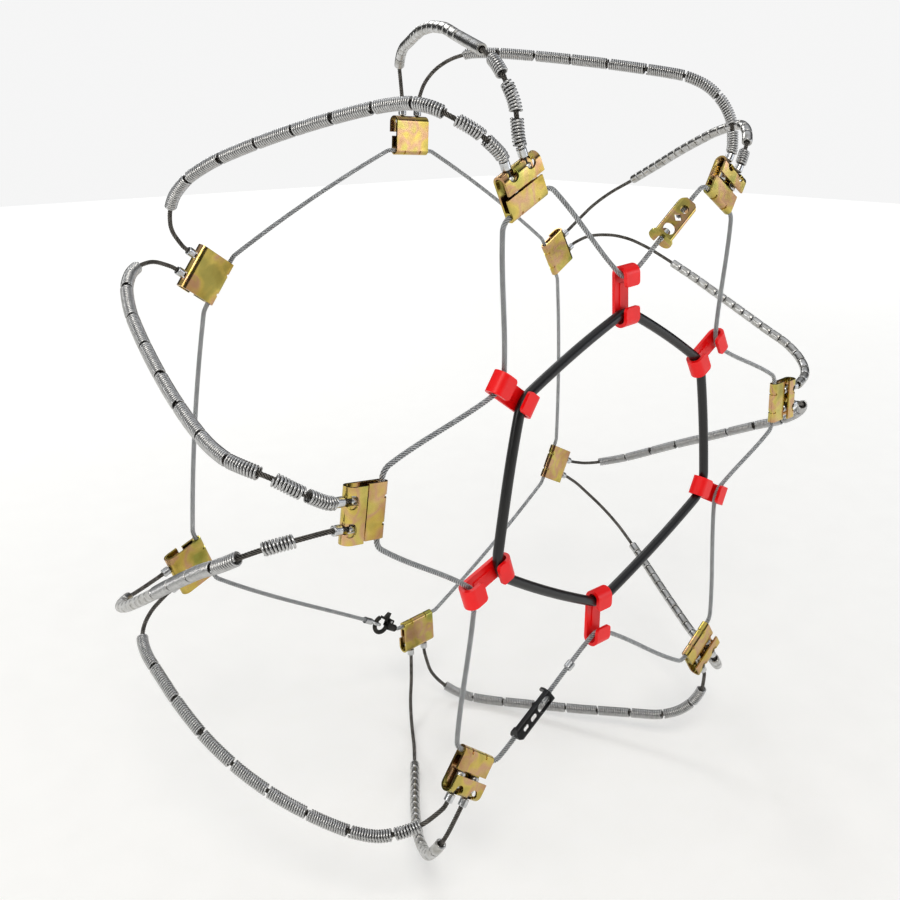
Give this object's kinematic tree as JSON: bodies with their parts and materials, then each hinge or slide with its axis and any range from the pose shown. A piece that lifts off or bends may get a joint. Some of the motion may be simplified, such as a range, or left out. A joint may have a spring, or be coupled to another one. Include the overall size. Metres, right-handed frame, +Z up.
{
  "type": "cable tyre chain",
  "caption": "Cable tyre chain in its mounted shape: coil-covered cross ropes between folded brackets, side cables, joining and tightening hooks, and a rubber ring on red hooks.",
  "frame": {"origin": "centre of the tyre that the set wraps: on the wheel axis, midway between the two side cables", "axes": "+Z up, -Y towards the outer side with the rubber ring, so Y is the wheel axis"},
  "size_m": [0.6703, 0.2713, 0.6735],
  "materials": {
    "plated_steel": "yellow-passivated zinc plating, satin, pink and green in places",
    "steel_rope": "bare stranded rope, dark and oily",
    "steel_cable": "galvanised stranded cable, light grey",
    "coil_steel": "hardened spring wire, grey satin",
    "sleeve_steel": "smooth steel tube, satin",
    "ferrule_steel": "pressed ferrule, bright satin",
    "black_rubber": "smooth black rubber cord",
    "red_plastic": "glossy moulded red",
    "black_steel": "black coated steel, semi-gloss",
    "dark_steel": "dark oiled steel",
    "bright_steel": "bright steel"
  },
  "bodies": {
    "chain": {"cable_beads": "ferrule_steel", "cable_eye": "bright_steel", "cross_rope_a_left": "steel_rope", "cross_rope_a_right": "steel_rope", "cross_rope_b_left": "steel_rope", "cross_rope_b_right": "steel_rope", "cross_rope_c_left": "steel_rope", "cross_rope_c_right": "steel_rope", "cross_rope_d_left": "steel_rope", "cross_rope_d_right": "steel_rope", "cross_rope_e_left": "steel_rope", "cross_rope_e_right": "steel_rope", "cross_rope_f_left": "steel_rope", "cross_rope_f_right": "steel_rope", "inner_bracket_ab": "plated_steel", "inner_bracket_bc": "plated_steel", "inner_bracket_cd": "plated_steel", "inner_bracket_de": "plated_steel", "inner_bracket_ef": "plated_steel", "inner_bracket_fa": "plated_steel", "inner_side_cable": "steel_cable", "left_side_cable": "steel_cable", "outer_bracket_a": "plated_steel", "outer_bracket_b": "plated_steel", "outer_bracket_c": "plated_steel", "outer_bracket_d": "plated_steel", "outer_bracket_e": "plated_steel", "outer_bracket_f": "plated_steel", "right_side_cable": "steel_cable", "rope_end_stops": "ferrule_steel", "rope_ferrules": "ferrule_steel", "rubber_ring": "black_rubber", "snap_hook": "dark_steel", "snap_lever_pin": "bright_steel", "traction_coils_a_left": "coil_steel", "traction_coils_a_right": "coil_steel", "traction_coils_b_left": "coil_steel", "traction_coils_b_right": "coil_steel", "traction_coils_c_right": "coil_steel", "traction_coils_d_right": "coil_steel", "traction_coils_e_right": "coil_steel", "traction_coils_f_left": "coil_steel", "traction_coils_f_right": "coil_steel", "traction_sleeves_a_right": "sleeve_steel", "traction_sleeves_b_right": "sleeve_steel", "traction_sleeves_c_left": "sleeve_steel", "traction_sleeves_d_left": "sleeve_steel", "traction_sleeves_e_left": "sleeve_steel", "traction_sleeves_f_left": "sleeve_steel"},
    "joining_hook": {"joining_hook": "plated_steel"},
    "long_sleeve": {"long_sleeve": "sleeve_steel"},
    "red_hook_1": {"red_hook_1": "red_plastic"},
    "red_hook_2": {"red_hook_2": "red_plastic"},
    "red_hook_3": {"red_hook_3": "red_plastic"},
    "red_hook_4": {"red_hook_4": "red_plastic"},
    "red_hook_5": {"red_hook_5": "red_plastic"},
    "red_hook_6": {"red_hook_6": "red_plastic"},
    "snap_lever": {"snap_lever": "dark_steel"},
    "tightening_hook": {"tightening_hook": "black_steel"}
  },
  "joints": [
    {"name": "red_hook_1_rock", "type": "hinge", "parent": "chain", "child": "red_hook_1", "pos_m": [0.0088, -0.128, 0.12573], "axis": [-0.9979, 0, -0.0645], "range_deg": [-2.5, 2.5]},
    {"name": "red_hook_2_rock", "type": "hinge", "parent": "chain", "child": "red_hook_2", "pos_m": [-0.10527, -0.128, 0.07642], "axis": [-0.5793, 0, -0.8151], "range_deg": [-2.5, 2.5]},
    {"name": "red_hook_3_rock", "type": "hinge", "parent": "chain", "child": "red_hook_3", "pos_m": [-0.12734, -0.128, -0.04555], "axis": [0.3256, 0, -0.9455], "range_deg": [-2.5, 2.5]},
    {"name": "red_hook_4_rock", "type": "hinge", "parent": "chain", "child": "red_hook_4", "pos_m": [-0.01136, -0.128, -0.1091], "axis": [0.9999, 0, -0.0157], "range_deg": [-2.5, 2.5]},
    {"name": "red_hook_5_rock", "type": "hinge", "parent": "chain", "child": "red_hook_5", "pos_m": [0.12721, -0.128, -0.04711], "axis": [0.4571, 0, 0.8894], "range_deg": [-2.5, 2.5]},
    {"name": "red_hook_6_rock", "type": "hinge", "parent": "chain", "child": "red_hook_6", "pos_m": [0.11205, -0.128, 0.0688], "axis": [-0.497, 0, 0.8678], "range_deg": [-2.5, 2.5]},
    {"name": "joining_hook_swivel", "type": "hinge", "parent": "chain", "child": "joining_hook", "pos_m": [0.08351, -0.128, 0.20447], "axis": [-0.8157, 0, -0.5785], "range_deg": [-30, 30]},
    {"name": "tightening_hook_swivel", "type": "hinge", "parent": "chain", "child": "tightening_hook", "pos_m": [-0.10893, -0.128, -0.19159], "axis": [0.8633, 0, 0.5046], "range_deg": [-30, 30]},
    {"name": "snap_lever_hinge", "type": "hinge", "parent": "chain", "child": "snap_lever", "pos_m": [-0.02217, 0.128, -0.22273], "axis": [0, -1, 0], "range_deg": [0, 16], "stiffness_Nm_per_rad": 0.05},
    {"name": "long_sleeve_roll", "type": "hinge", "parent": "chain", "child": "long_sleeve", "pos_m": [-0.10691, -0.0735, 0.32258], "axis": [0.2558, 0.9223, 0.2896], "continuous": true}
  ]
}
